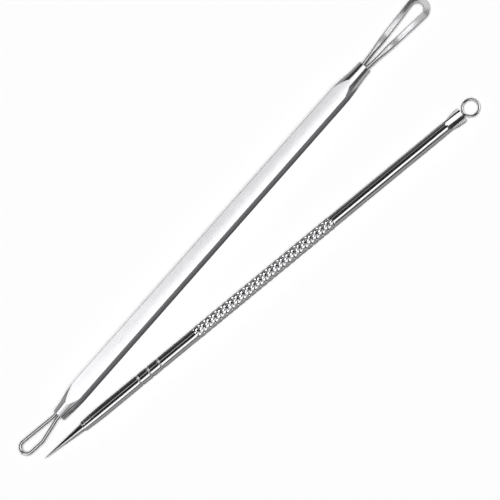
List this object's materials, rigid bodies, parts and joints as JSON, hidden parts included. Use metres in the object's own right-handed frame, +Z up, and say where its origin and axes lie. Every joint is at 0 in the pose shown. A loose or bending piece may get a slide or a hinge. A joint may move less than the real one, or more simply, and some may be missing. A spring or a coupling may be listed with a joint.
{
  "type": "blackhead extractor",
  "caption": "Pair of slim polished steel skin tools: a square-handled one with a flat loop and a wire loop, and a knurled round one with a needle and a wire ring.",
  "frame": {"origin": "middle of the face that the square handle rests on", "axes": "+X along the square handle, towards its flat loop; +Z up, away from the resting face; the round tool lies on the -Y side"},
  "size_m": [0.1199, 0.0259, 0.0034],
  "materials": {
    "square_bar": "mirror polished, lightly brushed along its length",
    "flat_band": "hammered flat, then polished",
    "loop_wire": "drawn wire, polished",
    "solder": "dull, as flowed",
    "round_bar": "mirror polished, with a knurled grip",
    "needle_steel": "ground and polished",
    "ring_wire": "drawn wire, polished"
  },
  "bodies": {
    "square_tool": {"square_handle": "square_bar", "flat_loop": "flat_band", "wire_loop": "loop_wire", "flat_loop_solder": "solder", "wire_loop_solder": "solder"},
    "round_tool": {"round_handle": "round_bar", "needle": "needle_steel", "wire_ring": "ring_wire"}
  },
  "joints": [
    {"name": "round_tool_lift", "type": "slide", "parent": "square_tool", "child": "round_tool", "axis": [0, 0, 1], "range_m": [0, 0.04]}
  ]
}
